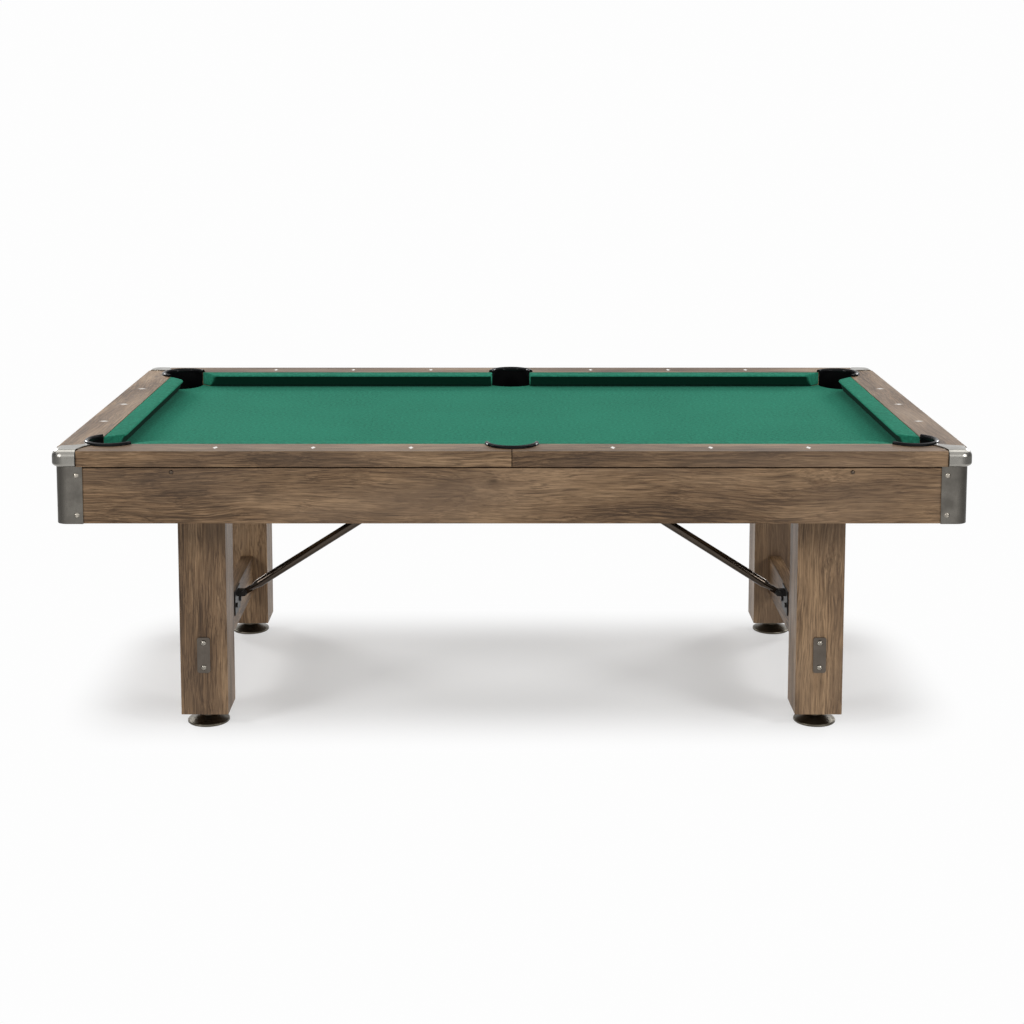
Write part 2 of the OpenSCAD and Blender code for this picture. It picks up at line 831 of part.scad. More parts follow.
// Tube with a cone and a flat eye at each end, from one pivot to the other along +X
module brace_tube() {
    module end_piece() {
        difference() {
            union() {
                rotate([90, 0, 0]) translate([0, 0, -tongue_t / 2]) cylinder(r = tongue_w / 2, h = tongue_t);
                translate([0, -tongue_t / 2, -tongue_w / 2]) cube([tongue_l, tongue_t, tongue_w]);
            }
            rotate([90, 0, 0]) translate([0, 0, -tongue_t]) cylinder(r = bolt_r + touch, h = 2 * tongue_t);
        }
        translate([tongue_l - 8, 0, 0]) rotate([0, 90, 0])
            cylinder(r1 = tongue_t / 2 + 1, r2 = brace_d / 2, h = cone_l);
    }
    end_piece();
    translate([brace_l, 0, 0]) mirror([1, 0, 0]) end_piece();
    shaft = tongue_l - 8 + cone_l;
    translate([shaft, 0, 0]) rotate([0, 90, 0]) cylinder(r = brace_d / 2, h = brace_l - 2 * shaft);
}

module brace_rods() {
    color("#3a342e") for (side = [0, 1]) mirror([side, 0, 0])
        translate([brace_low[0], 0, brace_low[1]]) mirror([1, 0, 0])
            rotate([0, -brace_angle, 0]) brace_tube();
}

// Pin bolt across a bracket's ears
module pin_bolt() {
    reach = ear_gap + ear_t;
    translate([0, 0, pivot_off]) rotate([90, 0, 0]) {
        translate([0, 0, reach]) cylinder(r = pin_hex_r, h = hex_h, $fn = 6);
        translate([0, 0, -reach - hex_h]) cylinder(r = pin_hex_r, h = hex_h, $fn = 6);
        translate([0, 0, -reach - hex_h - 2]) cylinder(r = bolt_r, h = 2 * (reach + hex_h) + 2);
    }
}

module lag_screws(holes) {
    for (h = holes) translate([h[0], h[1], 0]) {
        translate([0, 0, bracket_t]) cylinder(r = 7.5, h = 5, $fn = 6);
        translate([0, 0, -lag_l]) cylinder(r = lag_r, h = lag_l + bracket_t + 1);
    }
}

module brace_bolts() {
    color("#3f3d3a") for (side = [0, 1]) mirror([side, 0, 0]) {
        at_low_bracket() {
            pin_bolt();
            lag_screws(low_holes);
        }
        at_high_bracket() {
            pin_bolt();
            lag_screws(high_holes);
        }
    }
}

// ---------- levellers ----------

module at_foot(q) {
    translate([q[0] * leg_x, q[1] * leg_y, 0]) children();
}

// Wide metal foot with a socket for the screw's end
module leveller_pad() {
    r = foot_d / 2;
    color("#3b332b") rotate_extrude($fn = 96) polygon(concat(
        [[0, 0], [r - 1.5, 0], [r, 1.5]],
        arc([r - 3, foot_rim - 3], 3, 0, 80, 5),
        [
            [neck_r + 8, foot_shoulder - 1], [neck_r + 1, foot_shoulder + 2],
            [neck_r, foot_shoulder + 4], [neck_r, neck_top],
            [stud_r + running, neck_top], [stud_r + running, socket_z], [0, socket_z]
        ]
    ));
}

// Screw with a hexagon collar: the collar is turned to raise or lower the leg
module leveller_stud() {
    color("#77736c") {
        translate([0, 0, socket_z + 0.3]) cylinder(r = stud_r, h = collar_z - socket_z);
        translate([0, 0, collar_z]) cylinder(r = collar_r, h = collar_top - collar_z, $fn = 6);
        translate([0, 0, collar_top - 1]) cylinder(r = stud_r - running, h = stud_top - collar_top + 1);
    }
}

module leveller_inserts() {
    color("#8a8a88") for (q = QUADRANTS) at_foot(q) difference() {
        union() {
            translate([0, 0, leg_lift - insert_flange_t]) cylinder(r = insert_flange_r, h = insert_flange_t);
            translate([0, 0, leg_lift - 0.5]) cylinder(r = insert_r, h = insert_l + 0.4);
        }
        translate([0, 0, leg_lift - 5]) cylinder(r = stud_r, h = insert_l + 10);
    }
}

// ---------- the nodes ----------

slate(-half_l, -slate_seam_x - slate_gap / 2);  // slate_left
slate(-slate_middle_x, slate_middle_x);  // slate_centre
slate(slate_seam_x + slate_gap / 2, half_l);  // slate_right
bed_cloth();
in_quadrant(FRONT_LEFT) on_long_side() long_rail();  // rail_front_left
in_quadrant(FRONT_RIGHT) on_long_side() long_rail();  // rail_front_right
in_quadrant(BACK_LEFT) on_long_side() long_rail();  // rail_back_left
in_quadrant(BACK_RIGHT) on_long_side() long_rail();  // rail_back_right
mirror([1, 0, 0]) on_right_end() end_rail();  // rail_left
on_right_end() end_rail();  // rail_right
in_quadrant(FRONT_LEFT) on_long_side() long_cushion();  // cushion_front_left
in_quadrant(FRONT_RIGHT) on_long_side() long_cushion();  // cushion_front_right
in_quadrant(BACK_LEFT) on_long_side() long_cushion();  // cushion_back_left
in_quadrant(BACK_RIGHT) on_long_side() long_cushion();  // cushion_back_right
mirror([1, 0, 0]) on_right_end() end_cushion();  // cushion_left
on_right_end() end_cushion();  // cushion_right
rail_sights();
corner_cap_at(FRONT_LEFT);  // corner_cap_front_left
corner_cap_at(FRONT_RIGHT);  // corner_cap_front_right
corner_cap_at(BACK_LEFT);  // corner_cap_back_left
corner_cap_at(BACK_RIGHT);  // corner_cap_back_right
corner_pocket_rims();
side_pocket_rims();
corner_liner(FRONT_LEFT);  // pocket_liner_front_left
corner_liner(FRONT_RIGHT);  // pocket_liner_front_right
corner_liner(BACK_LEFT);  // pocket_liner_back_left
corner_liner(BACK_RIGHT);  // pocket_liner_back_right
side_liner(1);  // pocket_liner_front
side_liner(0);  // pocket_liner_back
mirror([0, 1, 0]) apron_long();  // apron_front
apron_long();  // apron_back
mirror([1, 0, 0]) apron_end();  // apron_left
apron_end();  // apron_right
corner_trims();
cabinet_screws();
frame_panels();
frame_beams();
frame_leg_boards();
in_quadrant(FRONT_LEFT) leg();  // leg_front_left
in_quadrant(FRONT_RIGHT) leg();  // leg_front_right
in_quadrant(BACK_LEFT) leg();  // leg_back_left
in_quadrant(BACK_RIGHT) leg();  // leg_back_right
leg_plates();
leg_plate_bolts();
leg_stretchers();
leg_bolts();
brace_rods();
brace_brackets();
brace_bolts();
at_foot(FRONT_LEFT) leveller_pad();  // leveller_pad_front_left
at_foot(FRONT_RIGHT) leveller_pad();  // leveller_pad_front_right
at_foot(BACK_LEFT) leveller_pad();  // leveller_pad_back_left
at_foot(BACK_RIGHT) leveller_pad();  // leveller_pad_back_right
at_foot(FRONT_LEFT) leveller_stud();  // leveller_stud_front_left
at_foot(FRONT_RIGHT) leveller_stud();  // leveller_stud_front_right
at_foot(BACK_LEFT) leveller_stud();  // leveller_stud_back_left
at_foot(BACK_RIGHT) leveller_stud();  // leveller_stud_back_right
leveller_inserts();
rail_bolts();
slate_screws();
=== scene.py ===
import math

import bmesh
import bpy
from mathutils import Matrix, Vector


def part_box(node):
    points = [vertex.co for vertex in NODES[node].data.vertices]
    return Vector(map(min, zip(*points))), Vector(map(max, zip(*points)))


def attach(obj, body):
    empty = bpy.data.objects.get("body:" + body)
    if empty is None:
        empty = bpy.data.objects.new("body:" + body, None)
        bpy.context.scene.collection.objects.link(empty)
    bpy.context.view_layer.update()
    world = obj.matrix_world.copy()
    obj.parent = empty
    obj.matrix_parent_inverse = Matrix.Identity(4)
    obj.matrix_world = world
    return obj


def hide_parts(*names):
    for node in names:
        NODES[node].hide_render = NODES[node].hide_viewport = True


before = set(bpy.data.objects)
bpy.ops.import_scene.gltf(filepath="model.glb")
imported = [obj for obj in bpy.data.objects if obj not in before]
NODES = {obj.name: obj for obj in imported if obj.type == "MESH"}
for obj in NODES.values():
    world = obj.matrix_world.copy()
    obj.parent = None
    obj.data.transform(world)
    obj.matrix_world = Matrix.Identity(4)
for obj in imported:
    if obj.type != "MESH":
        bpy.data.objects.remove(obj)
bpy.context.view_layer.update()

# ---------------------------------------------------------------- sizes, in metres, as the CAD has them
HALF_L, HALF_W = 1.1575, 0.6495     # outer faces of the rails
RAIL_WOOD = 0.0915
RAIL_W = 0.1415                     # rail's outer face to the cushion's nose
BED_Z, RAIL_TOP = 0.750, 0.790
SLATE_INSET = 0.045
CORNER_CUT, SIDE_CUT, CUT_R = 0.1005, 0.0515, 0.080
CORNER_TIP, SIDE_TIP = 0.086, 0.0635
CORNER_RUN, SIDE_RUN = 0.049, 0.0035
SUB_RAIL = 0.026                    # timber behind the rubber

# ---------------------------------------------------------------- sizes of the soft pieces, in metres
CLEAR = 0.0004                      # least gap between a cushion and the rail or bed
CORE = (RAIL_WOOD + 0.024, BED_Z + 0.024)   # point a cushion's end sections shrink towards
NOSE_R = 0.0034
LID = 0.0010                        # how far a cushion's end stands past its facing
SIDE_DRAW = 0.35                    # share of the nose's draw at a side pocket
CUSHION_STEPS = 40
CLOTH_T = 0.0009
# Fold of the bed cloth at a pocket, as (into the hole, down from the bed)
FOLD = [
    (0.0006, -0.0002), (0.0013, -0.0007), (0.0018, -0.0014),
    (0.0020, -0.0024), (0.0020, -0.0120), (0.0020, -0.0235),
]

# ---------------------------------------------------------------- camera and light, metres and watts
LENS = 62.94
SHIFT = (0.0055, -0.23)
CAMERA_AT = (-0.014, -5.066, 1.727)
CAMERA_DOWN = 6.4                   # degrees below level
WHITE = 0.985                       # the studio's white
SIDE_LIGHTS = {"front": (-2.9, 58), "back": (3.1, 62)}   # name: (y, power)


# ---------------------------------------------------------------- studio
def make_camera():
    data = bpy.data.cameras.new("camera")
    data.sensor_width = 36.0
    data.lens = LENS
    data.shift_x, data.shift_y = SHIFT
    data.clip_start, data.clip_end = 0.1, 200.0
    cam = bpy.data.objects.new("camera", data)
    cam.location = CAMERA_AT
    cam.rotation_euler = (math.radians(90 - CAMERA_DOWN), 0.0, 0.0)
    bpy.context.scene.collection.objects.link(cam)
    bpy.context.scene.camera = cam


def area_light(name, location, target, size, power):
    data = bpy.data.lights.new(name, "AREA")
    data.shape = "RECTANGLE"
    data.size, data.size_y = size
    data.energy = power
    data.specular_factor = 0.5
    light = bpy.data.objects.new(name, data)
    light.location = location
    aim = Vector(target) - Vector(location)
    light.rotation_euler = aim.to_track_quat("-Z", "Y").to_euler()
    bpy.context.scene.collection.objects.link(light)


def make_world():
    """White studio with less fill than it shows, and dark flags at both sides that only reflections see."""
    world = bpy.data.worlds.new("studio")
    world.use_nodes = True
    tree = world.node_tree
    soft = tree.nodes["Background"]
    soft.inputs["Color"].default_value = (1.0, 1.0, 1.0, 1.0)
    soft.inputs["Strength"].default_value = 0.27
    white = tree.nodes.new("ShaderNodeBackground")
    white.inputs["Color"].default_value = (WHITE, WHITE, WHITE, 1.0)
    path = tree.nodes.new("ShaderNodeLightPath")
    both = tree.nodes.new("ShaderNodeMixShader")
    tree.links.new(path.outputs["Is Diffuse Ray"], both.inputs[0])
    tree.links.new(white.outputs[0], both.inputs[1])
    tree.links.new(soft.outputs[0], both.inputs[2])
    way = tree.nodes.new("ShaderNodeTexCoord")
    parts = tree.nodes.new("ShaderNodeSeparateXYZ")
    aside = tree.nodes.new("ShaderNodeMath")
    aside.operation = "ABSOLUTE"
    flag = tree.nodes.new("ShaderNodeMapRange")
    flag.inputs["From Min"].default_value = 0.45
    flag.inputs["From Max"].default_value = 0.85
    flag.inputs["To Min"].default_value = WHITE
    flag.inputs["To Max"].default_value = 0.18
    seen = tree.nodes.new("ShaderNodeMath")
    seen.operation = "MAXIMUM"
    tree.links.new(way.outputs["Generated"], parts.inputs[0])
    tree.links.new(parts.outputs[0], aside.inputs[0])
    tree.links.new(aside.outputs[0], flag.inputs["Value"])
    tree.links.new(flag.outputs["Result"], seen.inputs[0])
    tree.links.new(path.outputs["Is Camera Ray"], seen.inputs[1])
    tree.links.new(seen.outputs[0], white.inputs["Strength"])
    tree.links.new(both.outputs[0], tree.nodes["World Output"].inputs["Surface"])
    bpy.context.scene.world = world


def make_studio():
    scene = bpy.context.scene
    scene.view_settings.view_transform = "Standard"
    make_world()
    for side in (-1, 1):
        for name, (y, power) in SIDE_LIGHTS.items():
            area_light(f"{name}_{side}", (3.6 * side, y, 2.2), (0.0, 0.0, 0.5), (1.2, 1.0), power)
        area_light(f"overhead_{side}", (2.3 * side, 0.3, 3.4), (0.5 * side, 0.0, 0.7), (1.8, 3.2), 30)
    area_light("front_fill", (0.0, -5.0, 3.2), (0.0, 0.0, 0.6), (5.0, 1.2), 24)

    floor = bpy.data.meshes.new("floor")
    bm = bmesh.new()
    bmesh.ops.create_grid(bm, x_segments=2, y_segments=2, size=80.0)
    bm.to_mesh(floor)
    bm.free()
    obj = bpy.data.objects.new("floor", floor)
    scene.collection.objects.link(obj)
    obj.location.z = -0.0002
    floor.materials.append(floor_material())


def floor_material():
    """Pale floor that runs out into plain white. It glows a little, and its glow is painted lower round the
    table as painted shadow.
    """
    t = Tree("floor")
    shader = t.shader
    shader.inputs["Base Color"].default_value = (0.70, 0.70, 0.70, 1.0)
    shader.inputs["Roughness"].default_value = 0.9
    shader.inputs["Specular IOR Level"].default_value = 0.0
    shader.inputs["Emission Color"].default_value = (1.0, 1.0, 1.0, 1.0)
    far = t.node("Emission")
    far.inputs["Color"].default_value = (WHITE, WHITE, WHITE, 1.0)
    parts = t.node("SeparateXYZ")
    t.link(t.coords, parts.inputs[0])
    across = t.math("ABSOLUTE", parts.outputs[0])
    # painted shadow: the floor's glow drops towards both ends of the table
    t.link(t.remap(across, 0.55, 0.95, 0.34, 0.23), shader.inputs["Emission Strength"])
    # painted shadow outline: inside this rounded patch the floor shows its own shading, outside it is plain
    # white glow
    wide = t.remap(across, 1.00, 1.26)
    deep = t.remap(t.math("ABSOLUTE", parts.outputs[1]), 0.24, 0.62)
    away = t.math("SQRT", t.math("ADD", t.math("MULTIPLY", wide, wide), t.math("MULTIPLY", deep, deep)))
    blend = t.node("MixShader")
    edge = t.remap(away, 0.0, 1.0)
    edge.node.interpolation_type = "SMOOTHSTEP"
    t.link(edge, blend.inputs[0])
    # painted reflection: for all rays but the camera's the far floor glows darker at both sides, as the
    # studio's flags are
    dim = t.remap(across, 2.0, 3.4, 1.0, 0.32)
    seen = t.math("MAXIMUM", t.node("LightPath").outputs["Is Camera Ray"], dim)
    t.link(seen, far.inputs["Strength"])
    t.link(shader.outputs[0], blend.inputs[1])
    t.link(far.outputs[0], blend.inputs[2])
    t.link(blend.outputs[0], t.tree.nodes["Material Output"].inputs["Surface"])
    return t.mat


# ---------------------------------------------------------------- node helpers
class Tree:
    """Builds a material's nodes, one short call each."""

    def __init__(self, name):
        self.mat = bpy.data.materials.new(name)
        self.mat.use_nodes = True
        self.tree = self.mat.node_tree
        self.shader = self.tree.nodes["Principled BSDF"]
        self.coords = self.tree.nodes.new("ShaderNodeTexCoord").outputs["Object"]

    def node(self, kind, **settings):
        made = self.tree.nodes.new("ShaderNode" + kind)
        for key, value in settings.items():
            setattr(made, key, value)
        return made

    def link(self, source, target):
        self.tree.links.new(source, target)

    def put(self, target, value):
        if isinstance(value, bpy.types.NodeSocket):
            self.link(value, target)
        else:
            target.default_value = value

    def place(self, source, scale=(1, 1, 1), rotation=(0, 0, 0), location=(0, 0, 0)):
        made = self.node("Mapping")
        self.link(source, made.inputs["Vector"])
        made.inputs["Scale"].default_value = scale
        made.inputs["Rotation"].default_value = rotation
        made.inputs["Location"].default_value = location
        return made.outputs["Vector"]

    def noise(self, source, scale, detail=4.0, rough=0.5, distortion=0.0, colour=False):
        made = self.node("TexNoise")
        self.link(source, made.inputs["Vector"])
        made.inputs["Scale"].default_value = scale
        made.inputs["Detail"].default_value = detail
        made.inputs["Roughness"].default_value = rough
        made.inputs["Distortion"].default_value = distortion
        return made.outputs["Color" if colour else "Fac"]

    def math(self, kind, a, b=0.0):
        made = self.node("Math", operation=kind)
        self.put(made.inputs[0], a)
        self.put(made.inputs[1], b)
        return made.outputs[0]

    def vector(self, kind, a, b):
        made = self.node("VectorMath", operation=kind)
        self.put(made.inputs[0], a)
        self.put(made.inputs[1], b)
        return made.outputs[0]

    def remap(self, value, low, high, to_low=0.0, to_high=1.0):
        made = self.node("MapRange", clamp=True)
        self.put(made.inputs["Value"], value)
        made.inputs["From Min"].default_value = low
        made.inputs["From Max"].default_value = high
        made.inputs["To Min"].default_value = to_low
        made.inputs["To Max"].default_value = to_high
        return made.outputs["Result"]

    def mix(self, factor, a, b):
        made = self.node("Mix", data_type="RGBA")
        self.put(made.inputs["Factor"], factor)
        self.put(made.inputs["A"], a if isinstance(a, bpy.types.NodeSocket) else (*a, 1.0))
        self.put(made.inputs["B"], b if isinstance(b, bpy.types.NodeSocket) else (*b, 1.0))
        return made.outputs["Result"]

    def ramp(self, value, stops):
        made = self.node("ValToRGB")
        self.link(value, made.inputs["Fac"])
        ramp = made.color_ramp
        while len(ramp.elements) < len(stops):
            ramp.elements.new(0.5)
        for element, (place, colour) in zip(ramp.elements, stops):
            element.position = place
            element.color = (*colour, 1.0)
        return made.outputs["Color"]

    def bump(self, height, strength, distance):
        made = self.node("Bump")
        made.inputs["Strength"].default_value = strength
        made.inputs["Distance"].default_value = distance
        self.link(height, made.inputs["Height"])
        return made.outputs["Normal"]

    def finish(self, colour, roughness, normal, **constants):
        self.put(self.shader.inputs["Base Color"], colour)
        self.put(self.shader.inputs["Roughness"], roughness)
        self.link(normal, self.shader.inputs["Normal"])
        for key, value in constants.items():
            self.shader.inputs[key.replace("_", " ")].default_value = value
        return self.mat


# ---------------------------------------------------------------- materials
GRAIN_TURN = {"x": (0, 0, 0), "y": (0, 0, -math.pi / 2), "z": (0, math.pi / 2, 0)}


def wood(name, grain, centre, seed, dark, mid, light):
    """Weathered, stained timber. Its grain runs along x, y or z, round a pith just outside the board."""
    t = Tree(name)
    parts = t.node("SeparateXYZ")
    t.link(t.coords, parts.inputs[0])
    order = {"x": (0, 1, 2), "y": (1, 0, 2), "z": (2, 0, 1)}[grain]
    local = t.node("CombineXYZ")
    for target, source in enumerate(order):
        t.link(parts.outputs[source], local.inputs[target])
    local = t.vector("SUBTRACT", local.outputs[0], tuple(centre[i] for i in order))
    seeded = t.vector("ADD", local, (seed * 3.713, seed * 1.371, seed * 2.197))

    wander = t.noise(t.place(seeded, scale=(1.5, 5.0, 5.0)), 1.0, 3.0, 0.5, colour=True)
    wander = t.vector("SUBTRACT", wander, (0.5, 0.5, 0.5))
    wander = t.vector("MULTIPLY", wander, (0.0, 0.075, 0.075))
    bent = t.vector("ADD", seeded, wander)
    pith = t.vector("ADD", t.vector("ADD", local, wander),
                    (0.0, 0.052 + 0.013 * math.sin(seed * 5.1), 0.030 * math.sin(seed * 2.3)))

    rings = t.node("TexWave", wave_type="RINGS", rings_direction="X", wave_profile="SAW")
    t.link(t.place(pith, scale=(0.10, 1.0, 1.0)), rings.inputs["Vector"])
    rings.inputs["Scale"].default_value = 34.0
    rings.inputs["Distortion"].default_value = 3.2
    rings.inputs["Detail"].default_value = 4.0
    rings.inputs["Detail Scale"].default_value = 14.0
    rings.inputs["Detail Roughness"].default_value = 0.62
    late = t.remap(rings.outputs["Fac"], 0.55, 1.0)

    band = t.noise(t.place(bent, scale=(1.6, 26.0, 26.0)), 1.0, 3.0, 0.6)
    blotch = t.noise(t.place(seeded, scale=(2.1, 9.0, 9.0)), 1.0, 4.0, 0.55)
    fibre = t.noise(t.place(bent, scale=(5.5, 250.0, 250.0)), 1.0, 5.0, 0.78)
    pores = t.noise(t.place(bent, scale=(13.0, 420.0, 420.0)), 1.0, 2.0, 0.6)

    def lines(across, width, shift):
        """Thin dark lines that follow the grain, where a slow noise passes through its middle."""
        along = t.place(bent, scale=(across * 0.028, across, across), location=(shift, 0, 0))
        field = t.noise(along, 1.0, 2.0, 0.55)
        off = t.math("ABSOLUTE", t.math("SUBTRACT", field, 0.5))
        return t.remap(off, 0.0, width, 1.0, 0.0)

    veins = t.math("MAXIMUM", lines(50.0, 0.026, 0.0), t.math("MULTIPLY", lines(92.0, 0.036, 3.0), 0.85))
    veins = t.math("MAXIMUM", veins, t.math("MULTIPLY", lines(150.0, 0.055, 7.0), 0.85))
    veins = t.math("MULTIPLY", veins, t.remap(blotch, 0.34, 0.62, 1.0, 0.50))

    tone = t.math("MULTIPLY", t.remap(band, 0.30, 0.70), 0.26)
    tone = t.math("ADD", tone, t.math("MULTIPLY", t.remap(blotch, 0.30, 0.70), 0.46))
    tone = t.math("ADD", tone, t.math("MULTIPLY", t.remap(fibre, 0.36, 0.64), 0.34))
    tone = t.math("SUBTRACT", tone, t.math("MULTIPLY", late, 0.12))
    colour = t.ramp(tone, [(0.16, dark), (0.44, mid), (0.78, light)])
    colour = t.mix(t.math("MULTIPLY", veins, 0.72), colour, tuple(c * 0.62 for c in dark))
    pits = t.remap(pores, 0.55, 0.66)
    colour = t.mix(t.math("MULTIPLY", pits, 0.62), colour, tuple(c * 0.55 for c in dark))
    grey = t.noise(t.place(seeded, scale=(1.4, 6.0, 6.0), location=(9.0, 4.0, 2.0)), 1.0, 3.0, 0.5)
    pale = tuple(0.72 * c + 0.28 * sum(mid) / 3 for c in mid)
    colour = t.mix(t.remap(grey, 0.45, 0.68, 0.0, 0.45), colour, pale)

    cells = t.node("TexVoronoi", feature="F1")
    t.link(t.place(bent, scale=(3.6, 10.0, 10.0)), cells.inputs["Vector"])
    cells.inputs["Scale"].default_value = 1.0
    near = t.remap(cells.outputs["Distance"], 0.015, 0.075, 1.0, 0.0)
    cell = t.node("SeparateColor")
    t.link(cells.outputs["Color"], cell.inputs["Color"])
    some = t.math("GREATER_THAN", cell.outputs["Red"], 0.45)
    knots = t.math("MULTIPLY", t.math("MULTIPLY", near, some), 0.7)
    colour = t.mix(knots, colour, tuple(c * 0.45 for c in dark))

    height = t.math("ADD", t.math("MULTIPLY", fibre, 0.5), t.math("MULTIPLY", pits, -0.6))
    height = t.math("ADD", height, t.math("MULTIPLY", veins, -0.5))
    rough = t.remap(t.math("ADD", fibre, blotch), 0.7, 1.3, 0.52, 0.36)
    return t.finish(colour, rough, t.bump(height, 0.35, 0.0007), Specular_IOR_Level=0.24)


def felt(name, colour, seed=0.0, shaded=False):
    """Billiard cloth: short nap with a fine weave. shaded paints shade on the faces that lean over the bed.
    """
    t = Tree(name)
    cloud = t.noise(t.place(t.coords, scale=(3.0, 3.0, 3.0), location=(seed, 0, 0)), 1.0, 3.0, 0.5)
    nap = t.noise(t.coords, 900.0, 3.0, 0.7)
    lint = t.noise(t.coords, 120.0, 4.0, 0.75)
    weave = t.node("TexWave", wave_type="BANDS", bands_direction="DIAGONAL")
    t.link(t.coords, weave.inputs["Vector"])
    weave.inputs["Scale"].default_value = 620.0
    weave.inputs["Distortion"].default_value = 1.2
    dull, bright = tuple(c * 0.92 for c in colour), tuple(c * 1.10 for c in colour)
    base = t.mix(t.remap(cloud, 0.35, 0.65), dull, bright)
    base = t.mix(t.remap(nap, 0.3, 0.7, 0.0, 0.45), base, tuple(c * 0.60 for c in colour))
    base = t.mix(t.remap(lint, 0.42, 0.64, 0.0, 0.60), base, tuple(min(1.0, c * 1.7) for c in colour))
    # painted shade: faces that lean down over the bed get a darker cloth colour
    if shaded:
        facing = t.node("SeparateXYZ")
        t.link(t.node("NewGeometry").outputs["Normal"], facing.inputs[0])
        under = t.remap(facing.outputs[2], -0.05, -0.40)
        base = t.mix(under, base, tuple(c * UNDERCUT_SHADE for c in colour))
    height = t.math("ADD", t.math("MULTIPLY", nap, 0.7), t.math("MULTIPLY", weave.outputs["Fac"], 0.3))
    return t.finish(base, 0.92, t.bump(height, 0.30, 0.0006),
                    Sheen_Weight=0.02, Sheen_Roughness=0.5, Specular_IOR_Level=0.02)


def metal(name, colour, rough, brushed="x", scratch=0.5, patina=(0.5, 0.5, 0.5), amount=0.35, relief=0.16):
    """Metal with a directional brush, soft patina clouds and small scratches."""
    t = Tree(name)
    along = t.place(t.coords, rotation=GRAIN_TURN[brushed])
    brush = t.noise(t.place(along, scale=(14.0, 900.0, 900.0)), 1.0, 3.0, 0.6)
    cloud = t.noise(t.coords, 26.0, 5.0, 0.6)
    spots = t.noise(t.coords, 320.0, 3.0, 0.6)
    aged = tuple(a * b for a, b in zip(colour, patina))
    base = t.mix(t.remap(cloud, 0.38, 0.66, 0.0, amount), colour, aged)
    base = t.mix(t.remap(brush, 0.35, 0.7, 0.0, 0.22), base, tuple(c * 0.62 for c in colour))
    gloss = t.math("ADD", t.remap(cloud, 0.35, 0.65, -0.05, 0.09), t.remap(brush, 0.3, 0.7, -0.05, 0.06))
    gloss = t.math("ADD", gloss, rough)
    height = t.math("ADD", t.math("MULTIPLY", brush, scratch), t.math("MULTIPLY", spots, 0.4))
    return t.finish(base, gloss, t.bump(height, relief, 0.0004), Metallic=1.0)


def moulded(name, colour, rough, grain, scale, shine):
    """Moulded plastic with a fine spark-eroded grain."""
    t = Tree(name)
    fine = t.noise(t.coords, scale, 2.0, 0.6)
    cloud = t.noise(t.coords, 18.0, 4.0, 0.55)
    dull, bright = tuple(c * 0.85 for c in colour), tuple(c * 1.2 for c in colour)
    base = t.mix(t.remap(cloud, 0.35, 0.65), dull, bright)
    gloss = t.math("ADD", t.remap(cloud, 0.3, 0.7, -0.04, 0.06), rough)
    return t.finish(base, gloss, t.bump(fine, grain, 0.0003), Specular_IOR_Level=shine)


def stone(name, colour):
    """Slate with fine level beds."""
    t = Tree(name)
    bed = t.noise(t.place(t.coords, scale=(4.0, 4.0, 160.0)), 1.0, 5.0, 0.6)
    fine = t.noise(t.coords, 300.0, 4.0, 0.65)
    base = t.mix(t.remap(bed, 0.3, 0.7), tuple(c * 0.75 for c in colour), tuple(c * 1.2 for c in colour))
    base = t.mix(t.remap(fine, 0.4, 0.7, 0.0, 0.3), base, tuple(c * 0.6 for c in colour))
    return t.finish(base, 0.7, t.bump(fine, 0.3, 0.0005))


def pearl(name):
    """Sight inlay: cream with a soft pearly drift."""
    t = Tree(name)
    drift = t.noise(t.coords, 130.0, 3.0, 0.5, 1.5)
    base = t.ramp(drift, [(0.3, (0.72, 0.68, 0.60)), (0.5, (0.86, 0.83, 0.76)), (0.7, (0.94, 0.93, 0.90))])
    return t.finish(base, 0.22, t.bump(drift, 0.05, 0.0002), Coat_Weight=0.5, Coat_Roughness=0.08)


def paint(node, mat):
    mesh = NODES[node].data
    mesh.materials.clear()
    mesh.materials.append(mat)


def soften(node, width, segments=2, angle=35.0):
    """Small worn edges on a CAD node, as a modifier."""
    mod = NODES[node].modifiers.new("soft_edges", "BEVEL")
    mod.width = width
    mod.segments = segments
    mod.limit_method = "ANGLE"
    mod.angle_limit = math.radians(angle)


DARK = (0.050, 0.028, 0.015)
MID = (0.182, 0.109, 0.057)
LIGHT = (0.362, 0.234, 0.130)
CLOTH = (0.025, 0.197, 0.126)
UNDERCUT_SHADE = 0.16               # painted shade on a cushion's undercut, as a share of the cloth's colour
RAW_WOOD = ((0.30, 0.20, 0.11), (0.46, 0.33, 0.20), (0.58, 0.45, 0.29))


def middle(node):
    low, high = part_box(node)
    return (low + high) / 2


def screws():
    """Aged nickel on the corner trims, and dark bronze for the pair in each long apron."""
    t = Tree("cabinet_screw_metal")
    parts = t.node("SeparateXYZ")
    t.link(t.coords, parts.inputs[0])
    outer = t.math("GREATER_THAN", t.math("ABSOLUTE", parts.outputs[0]), 1.0)
    cloud = t.noise(t.coords, 240.0, 4.0, 0.6)
    fine = t.noise(t.coords, 1500.0, 2.0, 0.6)
    base = t.mix(outer, (0.10, 0.075, 0.055), (0.46, 0.42, 0.36))
    base = t.mix(t.remap(cloud, 0.4, 0.7, 0.0, 0.6), base, (0.07, 0.06, 0.05))
    gloss = t.remap(cloud, 0.3, 0.7, 0.22, 0.42)
    return t.finish(base, gloss, t.bump(fine, 0.1, 0.0002), Metallic=1.0)


def timber_nodes():
    """(node, direction of its grain) of every stained board."""
    for node in sorted(NODES):
        if node.startswith(("leg_front", "leg_back")):
            yield node, "z"
        elif node in ("rail_left", "rail_right", "apron_left", "apron_right"):
            yield node, "y"
        elif node.startswith(("rail_front", "rail_back", "apron_")):
            yield node, "x"


